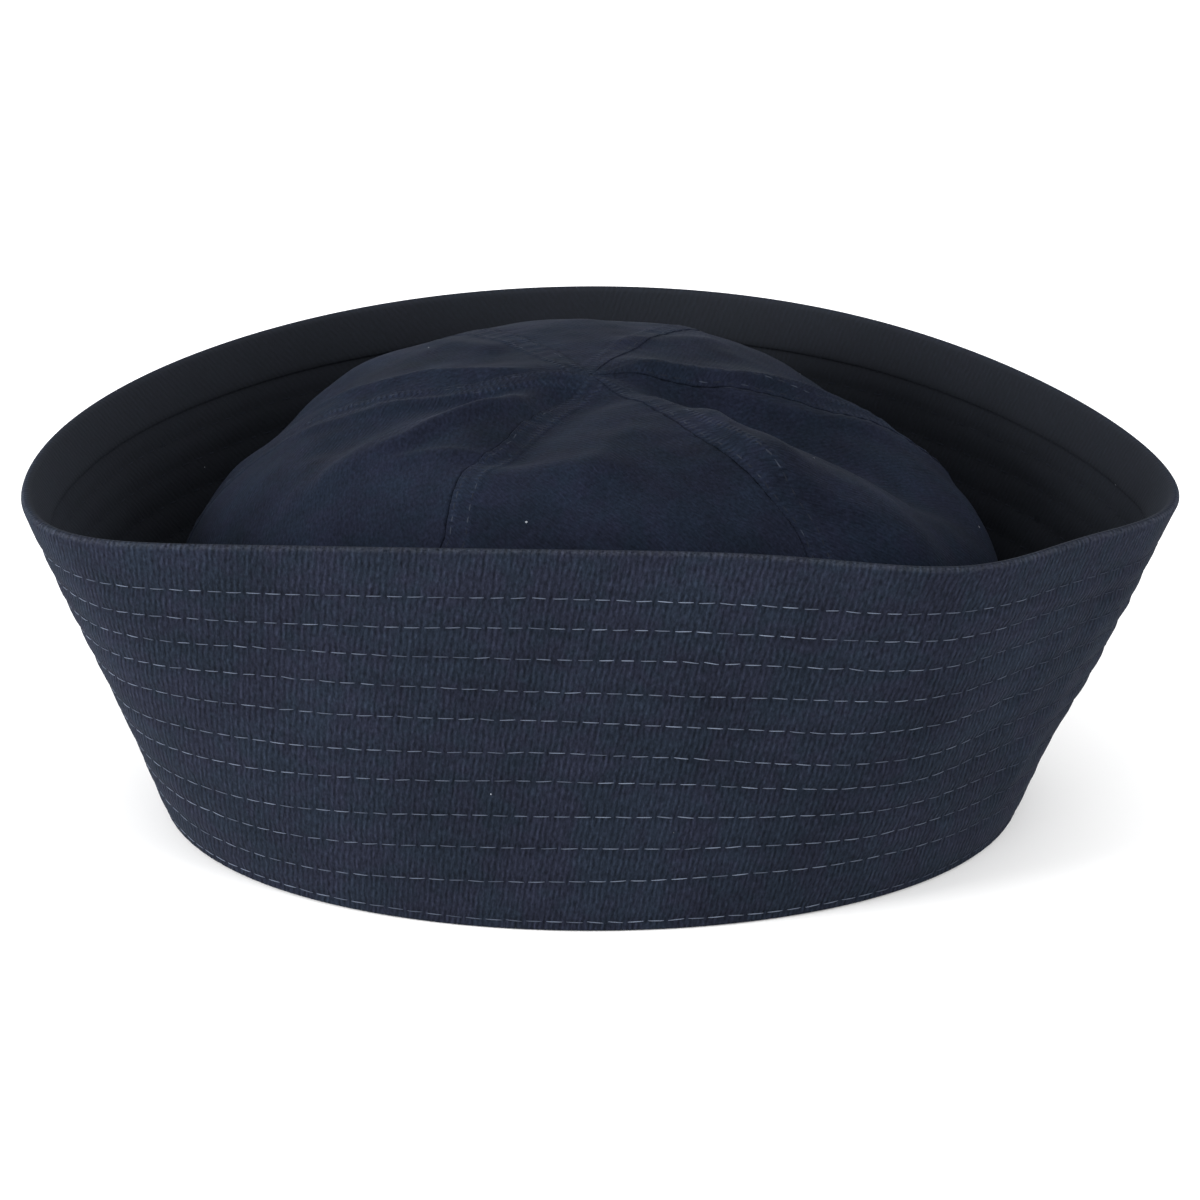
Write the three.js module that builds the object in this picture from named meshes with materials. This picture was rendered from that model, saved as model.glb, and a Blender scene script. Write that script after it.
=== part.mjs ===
// Sailor cap: a soft crown of six gores inside a tall turned-up brim.
// Sizes are in millimetres. Angles are in degrees round the cap, seen from above:
// 0 is the right end, 90 the back, 180 the left end and 270 the front.
import * as THREE from 'three';

// The brim is one strip of constant width. Its bottom fold and its rim are two closed curves.
// endsForward is how far the two ends of a curve lie in front of its middle,
// and pinch sharpens the right end and rounds the left one.
const brimWidth = 94.4;
const bottomCurve = { x: -2.3, y: -1.2, halfLength: 104.8, halfWidth: 93, endsForward: 8.2, pinch: 0 };
const rimCurve = { x: 0, y: 1, halfLength: 136.6, halfWidth: 97, endsForward: 30.8, pinch: 0.04 };

// Stretches where the rim leans further out or in: middle and spread in degrees, out in millimetres
const rimLeans = [
  { at: 305, spread: 12, out: 10 },
  { at: 235, spread: 14, out: -1.8 },
];

// Cloth of the brim
const outerPly = 1.3;
const innerPly = 1.2;
const hemPly = 1.1;
const clearance = 0.3;
const hemWidth = 11.6;
const rowCount = 11;
const rowPitch = 7.95;
const channelDepth = 0.5;
const footWidth = 10;
const footThickness = 1.8;
const bottomRounding = 0.9;

// Crown: the seams' places round the bottom edge, and the names of the gores that start at them
const crownHeight = 103.8;
const crownInset = 4.2;
const crownPly = 1.4;
const gores = [
  { name: 'crown_gore_right_back', from: 20, to: 68 },
  { name: 'crown_gore_back', from: 68, to: 120 },
  { name: 'crown_gore_left_back', from: 120, to: 174 },
  { name: 'crown_gore_left_front', from: 174, to: 243 },
  { name: 'crown_gore_front', from: 243, to: 303 },
  { name: 'crown_gore_right_front', from: 303, to: 380 },
];
const foldsFrom = 0.2;
const foldsFull = 0.6;
const lapWidth = 6;
const lapRise = 0.8;
const mostLapShare = 0.35;
const mostStepShare = 0.1;
const seamGap = 0.3;
const topGap = 2.2;

// The crown's side view is a superellipse. Its two powers, shoulder and side, change round the cap
// as mean + across * cos(angle) + along * sin(angle) + twice * cos(2 * angle).
const shoulderPower = { mean: 2.8, across: -0.7, along: -0.25, twice: -0.95 };
const sidePower = { mean: 4.65, across: 0.8, along: 0, twice: -0.2 };

// Main folds and hollows of the crown, each a straight stretch seen from above, measured from the top.
// width is how far the fold spreads to each side, and rise is its height, negative for a hollow.
const folds = [
  { name: 'right seam ridge', fromX: 12, fromY: 6, toX: 84, toY: 22, width: 5, rise: 2.5 },
  { name: 'right front valley', fromX: 26, fromY: -8, toX: 76, toY: -14, width: 10, rise: -6 },
  { name: 'front right ridge', fromX: 18, fromY: -15, toX: 42, toY: -46, width: 5, rise: 2.5 },
  { name: 'front right shoulder', fromX: 42, fromY: -46, toX: 74, toY: -49, width: 7, rise: 3.5 },
  { name: 'hollow behind right seam', fromX: 62, fromY: 35, toX: 70, toY: 30, width: 12, rise: -3 },
  { name: 'front hollow', fromX: -2, fromY: -14, toX: -19, toY: -48, width: 6.5, rise: -3.5 },
  { name: 'front crease', fromX: -20, fromY: -55, toX: 2, toY: -57, width: 4, rise: 1.6 },
  { name: 'left front crease', fromX: -19, fromY: -20, toX: -57, toY: -41, width: 4, rise: 2.5 },
  { name: 'left hollow', fromX: -28, fromY: -11, toX: -60, toY: -23, width: 6, rise: -2.5 },
  { name: 'left seam ridge', fromX: -10, fromY: 1, toX: -76, toY: 5, width: 5, rise: 1.5 },
  { name: 'left back shoulder', fromX: -62, fromY: 36, toX: -56, toY: 40, width: 8, rise: 1.5 },
  { name: 'left end hollow', fromX: -76, fromY: 6, toX: -66, toY: 22, width: 8, rise: -2 },
  { name: 'left end bulge', fromX: -97, fromY: -35, toX: -97, toY: 12, width: 11, rise: 3.2 },
  { name: 'right end bulge', fromX: 95, fromY: -25, toX: 95, toY: 8, width: 10, rise: 2.2 },
];

// How finely the bodies are divided
const stepsAround = 60;
const goreColumns = 8;
const goreRows = 17;

// Navy cotton: the brim's outer face is the most faded, its inside the darkest
const outerNavy = 0x2c313e;
const innerNavy = 0x25272e;
const crownNavy = 0x282c39;
const cottonRoughness = 0.9;

const upward = new THREE.Vector3(0, 0, 1);

// Step in radians for slopes across the surfaces
const smallTurn = 0.005;

function curvePoint(curve, angle) {
  const pinch = curve.pinch * Math.cos(angle);
  const across = (Math.cos(angle) + pinch * Math.cos(3 * angle)) / (1 + pinch);
  const x = curve.x + curve.halfLength * across;
  const y = curve.y + curve.halfWidth * Math.sin(angle) - curve.endsForward * Math.cos(angle) ** 2;
  return new THREE.Vector3(x, y, 0);
}

function turnBetween(angle, degrees) {
  const turn = THREE.MathUtils.radToDeg(angle) - degrees;
  return THREE.MathUtils.euclideanModulo(turn + 180, 360) - 180;
}

// A rim point stands as high as the strip's constant width allows over its flare.
function rimPoint(angle) {
  const point = curvePoint(rimCurve, angle);
  for (const lean of rimLeans) {
    const out = lean.out * Math.exp(-0.5 * (turnBetween(angle, lean.at) / lean.spread) ** 2);
    point.x += out * Math.cos(angle);
    point.y += out * Math.sin(angle);
  }
  const flare = point.distanceTo(curvePoint(bottomCurve, angle));
  point.z = Math.sqrt(brimWidth ** 2 - flare ** 2);
  return point;
}

// A point of the brim: along is measured up the strip from the bottom fold, depth inwards from its face.
function brimPoint(angle, { along, depth }) {
  const face = (turn) => curvePoint(bottomCurve, turn).lerp(rimPoint(turn), along / brimWidth);
  const around = face(angle + smallTurn).sub(face(angle - smallTurn));
  const inward = rimPoint(angle).sub(curvePoint(bottomCurve, angle)).cross(around).normalize();
  return face(angle).addScaledVector(inward, depth);
}

// A point inside the bottom curve: inset is measured level and square to the curve.
function insetPoint(angle, { inset, height }) {
  const ahead = curvePoint(bottomCurve, angle + smallTurn);
  const around = ahead.sub(curvePoint(bottomCurve, angle - smallTurn));
  const inward = upward.clone().cross(around).normalize();
  const point = curvePoint(bottomCurve, angle).addScaledVector(inward, inset);
  point.z = height;
  return point;
}

// A closed body from a grid of points that meets itself in both directions, or in the second only.
// Each patch is split along its shorter diagonal, so that neighbouring plies are split alike.
function bodyFromGrid(grid, closedAround) {
  const rows = grid.length;
  const columns = grid[0].length;
  const points = grid.flat();
  const faces = [];
  const corner = (row, column) => (row % rows) * columns + (column % columns);
  for (let row = 0; row < (closedAround ? rows : rows - 1); row += 1) {
    for (let column = 0; column < columns; column += 1) {
      const [a, b] = [corner(row, column), corner(row, column + 1)];
      const [c, d] = [corner(row + 1, column), corner(row + 1, column + 1)];
      if (points[a].distanceTo(points[d]) < points[b].distanceTo(points[c])) {
        faces.push(a, d, b, a, c, d);
      } else {
        faces.push(a, c, b, b, c, d);
      }
    }
  }
  return bodyFromFaces(points, faces);
}

function bodyFromFaces(points, faces) {
  const geometry = new THREE.BufferGeometry().setFromPoints(points);
  geometry.setIndex(faces);
  geometry.computeVertexNormals();
  return geometry;
}

function clothPiece(name, geometry, color) {
  const cotton = new THREE.MeshStandardMaterial({ color, roughness: cottonRoughness, metalness: 0 });
  const mesh = new THREE.Mesh(geometry, cotton);
  mesh.name = name;
  return mesh;
}

// Sections of the brim are closed outlines that start at the foot and run up the outer face.
function ringBody(section) {
  const grid = [];
  for (let step = 0; step < stepsAround; step += 1) {
    const angle = 2 * Math.PI * step / stepsAround;
    grid.push(section.map((spot) => ('inset' in spot ? insetPoint(angle, spot) : brimPoint(angle, spot))));
  }
  return bodyFromGrid(grid, true);
}

const hemBack = outerPly + innerPly + 2 * clearance;
const hemFace = hemBack + hemPly;
const rollRadius = hemFace / 2;
const rollCentre = brimWidth - rollRadius;
const rollSteps = 5;

// The outer face dips at every row of stitching and stands full halfway between two rows.
function channelledFace() {
  const spots = [];
  for (let row = rowCount - 1; row >= 0; row -= 1) {
    const along = brimWidth - hemWidth - row * rowPitch;
    spots.push({ along, depth: channelDepth });
    spots.push({ along: along + rowPitch / 2, depth: 0 });
  }
  return spots;
}

function rolledRim() {
  const spots = [];
  for (let step = 0; step <= rollSteps; step += 1) {
    const turn = Math.PI * step / rollSteps;
    const depth = rollRadius * (1 - Math.cos(turn));
    spots.push({ along: rollCentre + rollRadius * Math.sin(turn), depth });
  }
  return spots;
}

// Heights up the strip that the two plies share, so that they stay the same distance apart
const plyBottom = footThickness + 2 * clearance;
const plyTop = rollCentre - 2 * clearance;
const plySteps = 5;

function plyFace(depth) {
  const spots = [];
  for (let step = 0; step <= plySteps; step += 1) {
    spots.push({ along: THREE.MathUtils.lerp(plyBottom, plyTop, step / plySteps), depth });
  }
  return spots;
}

function outerPlySection() {
  const hemEdge = brimWidth - hemWidth;
  return [
    { inset: footWidth, height: 0 },
    { inset: bottomRounding, height: 0 },
    { along: bottomRounding, depth: 0 },
    ...channelledFace(),
    ...rolledRim(),
    { along: hemEdge + hemPly / 2, depth: hemFace },
    { along: hemEdge, depth: hemBack + hemPly / 2 },
    { along: hemEdge, depth: hemBack },
    { along: rollCentre, depth: hemBack },
    { along: rollCentre, depth: outerPly },
    ...plyFace(outerPly).reverse(),
    { inset: 2 * outerPly, height: footThickness },
    { inset: footWidth, height: footThickness },
  ];
}

function innerPlySection() {
  const face = outerPly + clearance;
  return [...plyFace(face), ...plyFace(face + innerPly).reverse()];
}

function powerAt(power, angle) {
  return power.mean + power.across * Math.cos(angle) + power.along * Math.sin(angle)
    + power.twice * Math.cos(2 * angle);
}

// How far out the superellipse x^shoulder + z^side = 1 lies along a ray at tilt from the upright.
function superellipseReach(tilt, shoulder, side) {
  let near = 0;
  let far = 2;
  for (let halving = 0; halving < 40; halving += 1) {
    const reach = (near + far) / 2;
    const sum = (reach * Math.sin(tilt)) ** shoulder + (reach * Math.cos(tilt)) ** side;
    if (sum < 1) near = reach;
    else far = reach;
  }
  return (near + far) / 2;
}

const crownFoot = footThickness + clearance;

// The crown without folds: tilt runs from 0 at the top to a quarter turn at the bottom edge.
function smoothCrownPoint(angle, tilt) {
  const reach = superellipseReach(tilt, powerAt(shoulderPower, angle), powerAt(sidePower, angle));
  const point = new THREE.Vector3(bottomCurve.x, bottomCurve.y, 0);
  point.lerp(insetPoint(angle, { inset: crownInset, height: 0 }), reach * Math.sin(tilt));
  point.z = crownFoot + (crownHeight - crownFoot) * reach * Math.cos(tilt);
  return point;
}

function foldHeight(x, y) {
  let height = 0;
  const spot = new THREE.Vector3(x - bottomCurve.x, y - bottomCurve.y, 0);
  const nearest = new THREE.Vector3();
  for (const fold of folds) {
    const from = new THREE.Vector3(fold.fromX, fold.fromY, 0);
    const line = new THREE.Line3(from, new THREE.Vector3(fold.toX, fold.toY, 0));
    line.closestPointToPoint(spot, true, nearest);
    height += fold.rise * Math.exp(-0.5 * (spot.distanceTo(nearest) / fold.width) ** 2);
  }
  return height;
}

// A crown point: depth is measured inwards from the outer face, square to it.
// Folds fade in between two shares of the crown's height, above where it stands on the foot.
function crownPoint(angle, tilt, depth) {
  const point = smoothCrownPoint(angle, tilt);
  const around = smoothCrownPoint(angle + smallTurn, tilt).sub(smoothCrownPoint(angle - smallTurn, tilt));
  const lower = Math.min(tilt + smallTurn, Math.PI / 2);
  const down = smoothCrownPoint(angle, lower).sub(smoothCrownPoint(angle, lower - 2 * smallTurn));
  const outward = down.cross(around).normalize();
  const fade = THREE.MathUtils.smoothstep(point.z, foldsFrom * crownHeight, foldsFull * crownHeight);
  return point.addScaledVector(outward, fade * foldHeight(point.x, point.y) - depth);
}

// Tilts that give rows of about equal height down the middle of a gore.
function evenTilts(angle) {
  class SideView extends THREE.Curve {
    getPoint(t, target = new THREE.Vector3()) {
      return target.copy(smoothCrownPoint(angle, t * Math.PI / 2));
    }
  }
  const sideView = new SideView();
  const start = topGap / sideView.getLength();
  const tilts = [];
  for (let row = 0; row <= goreRows; row += 1) {
    const share = THREE.MathUtils.lerp(start, 1, row / goreRows);
    tilts.push(sideView.getUtoTmapping(share) * Math.PI / 2);
  }
  return tilts;
}

// A gore's columns: the lapped seam takes the first two, with no more than a share of a narrow row,
// and the rest share out what is left.
function goreColumnsAcross(width) {
  const lap = Math.min(lapWidth, mostLapShare * width);
  const step = Math.min(lapRise, mostStepShare * width);
  const columns = [
    { across: 0, rise: lapRise },
    { across: lap, rise: lapRise },
  ];
  for (let column = 0; column <= goreColumns; column += 1) {
    const across = THREE.MathUtils.lerp(lap + step, width, column / goreColumns);
    columns.push({ across, rise: 0 });
  }
  return columns;
}

// Each row of a gore is a closed loop: across its outer face, then back across its inner face.
function goreBody(gore) {
  const from = THREE.MathUtils.degToRad(gore.from);
  const to = THREE.MathUtils.degToRad(gore.to);
  const grid = evenTilts((from + to) / 2).map((tilt) => {
    const left = smoothCrownPoint(from, tilt);
    const right = smoothCrownPoint(to, tilt);
    const middle = smoothCrownPoint((from + to) / 2, tilt);
    const wholeWidth = left.distanceTo(middle) + middle.distanceTo(right);
    const columns = goreColumnsAcross(wholeWidth - seamGap);
    const angleAt = (across) => {
      return THREE.MathUtils.lerp(from, to, (across + seamGap / 2) / wholeWidth);
    };
    const outer = columns.map(({ across, rise }) => crownPoint(angleAt(across), tilt, -rise));
    const inner = columns.map(({ across }) => crownPoint(angleAt(across), tilt, crownPly));
    return [...outer, ...inner.reverse()];
  });
  return cappedBody(grid);
}

// A grid of loops, closed at its first and last row by strips between the two halves of the loop.
function cappedBody(grid) {
  const geometry = bodyFromGrid(grid, false);
  const faces = Array.from(geometry.getIndex().array);
  const columns = grid[0].length;
  const lastRow = (grid.length - 1) * columns;
  for (let column = 0; column < columns / 2 - 1; column += 1) {
    const opposite = columns - 1 - column;
    faces.push(column, column + 1, opposite - 1, column, opposite - 1, opposite);
    faces.push(lastRow + column, lastRow + opposite, lastRow + opposite - 1);
    faces.push(lastRow + column, lastRow + opposite - 1, lastRow + column + 1);
  }
  return bodyFromFaces(grid.flat(), faces);
}

const cap = new THREE.Group();
cap.add(clothPiece('brim_outer_ply', ringBody(outerPlySection()), outerNavy));
cap.add(clothPiece('brim_inner_ply', ringBody(innerPlySection()), innerNavy));
for (const gore of gores) {
  cap.add(clothPiece(gore.name, goreBody(gore), crownNavy));
}

export default cap;
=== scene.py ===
# %% [markdown]
# # A navy cotton sailor cap
# A soft crown of six gores stands inside a tall brim that is turned up all round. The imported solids
# settle the sizes and places, whose driving values are repeated here, and this script lays finer
# cloth over them: stitched channels, a hem, lapped seams, puckers and thread. Lengths are in metres,
# z points up, and angles run round the cap seen from above: 0 is the right end, 90 the back, 180 the
# left end and 270 the front.

import bmesh
import bpy
import numpy as np
from mathutils import Matrix, Vector


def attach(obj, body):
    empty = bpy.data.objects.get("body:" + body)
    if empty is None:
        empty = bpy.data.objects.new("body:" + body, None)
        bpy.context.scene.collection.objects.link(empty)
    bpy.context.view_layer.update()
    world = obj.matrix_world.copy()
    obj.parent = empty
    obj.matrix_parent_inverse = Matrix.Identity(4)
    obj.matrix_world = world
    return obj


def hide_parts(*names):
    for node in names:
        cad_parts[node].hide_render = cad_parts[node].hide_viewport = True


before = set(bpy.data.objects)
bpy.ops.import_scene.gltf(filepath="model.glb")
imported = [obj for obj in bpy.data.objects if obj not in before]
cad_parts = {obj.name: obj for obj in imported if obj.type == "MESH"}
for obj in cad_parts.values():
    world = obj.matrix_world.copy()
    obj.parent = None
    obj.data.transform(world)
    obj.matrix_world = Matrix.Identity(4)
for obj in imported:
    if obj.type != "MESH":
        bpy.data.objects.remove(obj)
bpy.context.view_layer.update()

MM = 0.001
print("solids", sorted(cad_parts))

# %% [markdown]
# ## Camera
# The photograph looks down on the front of the cap by about 22 degrees from a little over a metre
# away. A long lens keeps the brim's ends from swelling.

# %% Camera at the photograph's angle
camera_tilt = np.radians(21.57)
camera_distance = 1.2
camera_target = Vector((-0.00023, 0.0015, 0.04441))
camera_lens = 146.94
sensor_width = 36

camera_data = bpy.data.cameras.new("studio_camera")
camera_data.lens = camera_lens
camera_data.sensor_width = sensor_width
camera = bpy.data.objects.new("studio_camera", camera_data)
bpy.context.scene.collection.objects.link(camera)
towards_camera = Vector((0, -np.cos(camera_tilt), np.sin(camera_tilt)))
camera.location = camera_target + camera_distance * towards_camera
camera.rotation_euler = (np.pi / 2 - camera_tilt, 0, 0)
bpy.context.scene.camera = camera
print("camera at", [round(c, 3) for c in camera.location])

# %% [markdown]
# ## The brim as a strip
# On the real cap the brim is one strip of cloth of the same width all round, folded at the bottom
# and rolled at the rim. Its place could be sculpted by eye, but a strip that keeps its width is more
# honest: every point is found from its angle round the cap, its distance up the strip and its depth
# behind the face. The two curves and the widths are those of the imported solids.

# %% Curves of the brim
brim_width = 94.4 * MM
bottom_curve = dict(
    x=-2.3 * MM, y=-1.2 * MM, half_length=104.8 * MM, half_width=93 * MM, ends_forward=8.2 * MM, pinch=0,
)
rim_curve = dict(
    x=0, y=1 * MM, half_length=136.6 * MM, half_width=97 * MM, ends_forward=30.8 * MM, pinch=0.04,
)
# Stretches where the rim leans further out or in, with their middle and spread in degrees
rim_leans = [dict(at=305, spread=12, out=10 * MM), dict(at=235, spread=14, out=-1.8 * MM)]

def curve_point(curve, angle):
    pinch = curve["pinch"] * np.cos(angle)
    across = (np.cos(angle) + pinch * np.cos(3 * angle)) / (1 + pinch)
    x = curve["x"] + curve["half_length"] * across
    y = curve["y"] + curve["half_width"] * np.sin(angle) - curve["ends_forward"] * np.cos(angle) ** 2
    return np.stack([x, y, np.zeros_like(x)], axis=-1)

def turn_from(angle, degrees):
    return (np.degrees(angle) - degrees + 180) % 360 - 180

def bell(distance, spread):
    return np.exp(-0.5 * (distance / spread) ** 2)

def smooth_step(value, low, high):
    share = np.clip((value - low) / (high - low), 0, 1)
    return share * share * (3 - 2 * share)

def rim_point(angle):
    point = curve_point(rim_curve, angle)
    for lean in rim_leans:
        out = lean["out"] * bell(turn_from(angle, lean["at"]), lean["spread"])
        point[..., 0] += out * np.cos(angle)
        point[..., 1] += out * np.sin(angle)
    flare = np.linalg.norm(point - curve_point(bottom_curve, angle), axis=-1)
    point[..., 2] = np.sqrt(brim_width**2 - flare**2)
    return point

right_tip = rim_point(np.zeros(1))[0]
print("right end of the rim at", [round(c / MM, 1) for c in right_tip])

# %% A point of the brim's wall and of its foot
small_turn = 0.005

def unit(vector):
    return vector / np.linalg.norm(vector, axis=-1, keepdims=True)

def brim_point(angle, along, depth):
    share = (np.asarray(along) / brim_width)[..., None]

    def face(turned):
        return (1 - share) * curve_point(bottom_curve, turned) + share * rim_point(turned)

    around = face(angle + small_turn) - face(angle - small_turn)
    inward = unit(np.cross(rim_point(angle) - curve_point(bottom_curve, angle), around))
    return face(angle) + np.asarray(depth)[..., None] * inward

def inset_point(angle, inset, height):
    before, after = (curve_point(bottom_curve, angle + turn) for turn in (-small_turn, small_turn))
    inward = unit(np.cross((0, 0, 1), after - before))
    raised = np.multiply.outer(height, (0, 0, 1))
    return curve_point(bottom_curve, angle) + np.asarray(inset)[..., None] * inward + raised

# %% [markdown]
# ## Laying a flat pattern round the cap
# Cloth is cut flat and bends when it is sewn. So each brim piece is first spun as a plain drum one
# metre in radius: its angle is the share of the strip's length, counted from the join at the back,
# its height is the distance up the strip, and its depth is measured in from the drum's face.
# Then every point moves to its place on the cap. Stitches of equal length on the drum stay equal.

# %% Length of the strip
join_angle = np.pi / 2
drum_radius = 1.0
table_steps = 2880

def strip_table(along):
    """Angles round the cap and the strip's length up to each, at a height of the strip."""
    angle = np.linspace(join_angle, join_angle + 2 * np.pi, table_steps + 1)
    line = brim_point(angle, np.full_like(angle, along), np.zeros_like(angle))
    length = np.concatenate([[0], np.cumsum(np.linalg.norm(np.diff(line, axis=0), axis=1))])
    return angle, length

middle_angles, middle_lengths = strip_table(brim_width / 2)
strip_length = middle_lengths[-1]
print("strip", round(strip_length / MM), "mm round at mid height")
print("strip", round(strip_table(0)[1][-1] / MM), "mm round at the bottom")

# %% Spin a section into a drum
def mesh_from(bm, name):
    mesh = bpy.data.meshes.new(name)
    bm.to_mesh(mesh)
    bm.free()
    return mesh

def spun_section(section, steps, name):
    """Spins a closed outline of (depth, along) spots into a drum."""
    bm = bmesh.new()
    spots = [bm.verts.new((drum_radius - depth, 0, along)) for depth, along in section]
    edges = [bm.edges.new((a, b)) for a, b in zip(spots, spots[1:] + spots[:1])]
    bmesh.ops.spin(
        bm, geom=spots + edges, cent=(0, 0, 0), axis=(0, 0, 1),
        angle=2 * np.pi, steps=steps, use_merge=True,
    )
    bmesh.ops.recalc_face_normals(bm, faces=bm.faces)
    return mesh_from(bm, name)

# %% Read and write points, maps and values
def read_points(mesh):
    points = np.empty(len(mesh.vertices) * 3)
    mesh.vertices.foreach_get("co", points)
    return points.reshape(-1, 3)

def write_points(mesh, points):
    mesh.vertices.foreach_set("co", points.astype(np.float32).ravel())
    mesh.update()

def drum_reading(points):
    share = (np.arctan2(points[:, 1], points[:, 0]) / (2 * np.pi)) % 1
    depth = drum_radius - np.hypot(points[:, 0], points[:, 1])
    return share, points[:, 2], depth

def write_values(mesh, name, values):
    layer = mesh.attributes.new(name, "FLOAT", "POINT")
    layer.data.foreach_set("value", np.asarray(values, np.float32))

def write_map(mesh, name, across, up):
    layer = mesh.uv_layers.new(name=name)
    flat = np.stack([across, up], axis=-1).astype(np.float32)
    layer.data.foreach_set("uv", flat.ravel())

def corner_points(mesh):
    corners = np.empty(len(mesh.loops), int)
    mesh.loops.foreach_get("vertex_index", corners)
    return corners

# %% [markdown]
# ## How the cloth gives
# Eleven rows of stitching pull the brim into soft channels, each stitch gathers a small pucker, and
# the whole wall sways a little, most at the right end where it was squeezed. These could be drawn
# only as bump, but real relief catches the light at the outline too. The slow waves below are sums
# of sines with fixed phases, so they are the same in every run.

# %% Rows of stitching
stitch_pitch = 4.7 * MM
row_shift = 0.37

# Heights of the rows up the strip in millimetres, at the left, the middle and the right of the front
stitch_rows = [
    dict(left=82.7, middle=82.9, right=82.1),
    dict(left=75.0, middle=75.6, right=74.8),
    dict(left=68.3, middle=68.2, right=67.1),
    dict(left=61.2, middle=60.2, right=58.7),
    dict(left=52.8, middle=52.9, right=50.1),
    dict(left=43.4, middle=44.9, right=41.6),
    dict(left=35.3, middle=38.0, right=34.9),
    dict(left=25.9, middle=29.2, right=27.7),
    dict(left=18.0, middle=21.0, right=20.3),
    dict(left=9.2, middle=12.4, right=13.6),
    dict(left=2.4, middle=2.4, right=2.2),
]
row_heights = [sum(row.values()) / 3 * MM for row in stitch_rows]

# Places on the front where the heights hold, in degrees, and how far each reaches along the strip
front_places = dict(left=223, middle=269, right=301)
place_reach = 0.045

# Small waves of a row: how many go round the cap, their height in millimetres and their phase
row_waves = [dict(waves=7, height=0.1, phase=4.7), dict(waves=17, height=0.06, phase=1.3)]

def strip_share(degrees):
    return np.interp(np.radians(degrees), middle_angles, middle_lengths) / strip_length

def row_wander(share, row):
    """How far a row strays from its mean height, as a hand-guided seam does."""
    stray = np.zeros_like(share)
    for wave in row_waves:
        stray += wave["height"] * np.sin(2 * np.pi * wave["waves"] * share + wave["phase"] * row)
    for side, degrees in front_places.items():
        step = stitch_rows[row][side] - row_heights[row] / MM
        stray += step * bell(share - strip_share(degrees), place_reach)
    return stray * MM

print("rows at", [round(height / MM, 1) for height in row_heights], "mm up the strip")

# %% Channels and puckers
channel_spread = 1.1 * MM
pucker_spread = 1.9 * MM
strong_stretches = 5

def channel_relief(share, along):
    """Height of the cloth above the stitch lines' level, from 0 in a row to 1 between two rows."""
    relief = np.ones_like(along)
    for row, height in enumerate(row_heights):
        relief -= bell(along - height - row_wander(share, row), channel_spread)
    return relief

def pucker_relief(share, along):
    relief = np.zeros_like(along)
    count = round(strip_length / stitch_pitch)
    for row, height in enumerate(row_heights):
        near_row = bell(along - height - row_wander(share, row), pucker_spread)
        strength = 0.6 + 0.4 * np.sin(2 * np.pi * strong_stretches * share + 2.3 * row)
        relief += strength * np.cos(2 * np.pi * count * (share - row_shift * row)) * near_row
    return relief

# %% Sway of the wall
# Slow waves: where they act, how many go round the cap, their lean up the wall and their phase
sway_waves = [
    dict(on="all round", height=0.35, waves=5, lean=3.0, phase=0),
    dict(on="all round", height=0.2, waves=11, lean=-4.0, phase=1.0),
    dict(on="right end", height=0.3, waves=17, lean=7.0, phase=0.6),
    dict(on="right end", height=0.12, waves=31, lean=-9.0, phase=0),
    dict(on="left end", height=0.2, waves=15, lean=6.0, phase=2.0),
]
# Crumples, which are higher by more at the right end
brim_crumples = [
    dict(height=0.1, more=0.15, wavelength=17 * MM, seed=3),
    dict(height=0.04, more=0.08, wavelength=7 * MM, seed=4),
]
# A ridge under the hem near the right end, where the brim was bent
bent_ridge = dict(at=334, spread=12, up=80 * MM, width=2.2 * MM, height=0.5)
crumple_waves = 28

def crumple(points, wavelength, seed):
    """Unevenness between about -1 and 1: a sum of waves in seeded random directions."""
    chance = np.random.default_rng(seed)
    total = np.zeros(len(points))
    for _ in range(crumple_waves):
        direction = unit(chance.normal(size=3)) * 2 * np.pi / (wavelength * chance.uniform(0.7, 1.5))
        total += np.sin(points @ direction + chance.uniform(0, 2 * np.pi))
    return total / np.sqrt(crumple_waves)

def brim_sway(angle, along, placed):
    """How far the wall stands out, none at the bottom fold and none at the rim."""
    up = along / brim_width
    ends = {
        "all round": 1,
        "right end": bell(turn_from(angle, 352), 26),
        "left end": bell(turn_from(angle, 180), 30),
    }
    sway = bent_ridge["height"] * bell(turn_from(angle, bent_ridge["at"]), bent_ridge["spread"])
    sway *= bell(along - bent_ridge["up"], bent_ridge["width"])
    for wave in sway_waves:
        lean = np.sin(wave["waves"] * angle + wave["lean"] * up + wave["phase"])
        sway += ends[wave["on"]] * wave["height"] * lean
    for fold in brim_crumples:
        height = fold["height"] + fold["more"] * ends["right end"]
        sway += height * crumple(placed, fold["wavelength"], fold["seed"])
    return MM * sway * np.sin(np.pi * np.clip(up, 0, 1)) ** 0.7

# %% [markdown]
# ## Every point to its place
# The drum's wall becomes the brim's wall, and a ring of points that waits below the drum becomes the
# foot, turned in under the crown. Each ply keeps its thickness: relief fades from one face of the
# cloth to the other. The move is worked out in code and not by a cloth simulation, so the outline
# and the rows of stitches land where the photograph has them.

# %% Place every point of a brim piece
outer_ply = 0.8 * MM
inner_ply = 0.7 * MM
hem_ply = 0.7 * MM
clearance = 0.15 * MM
foot_drop = 20 * MM
wall_starts = -5 * MM
pucker_share = 0.1

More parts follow.
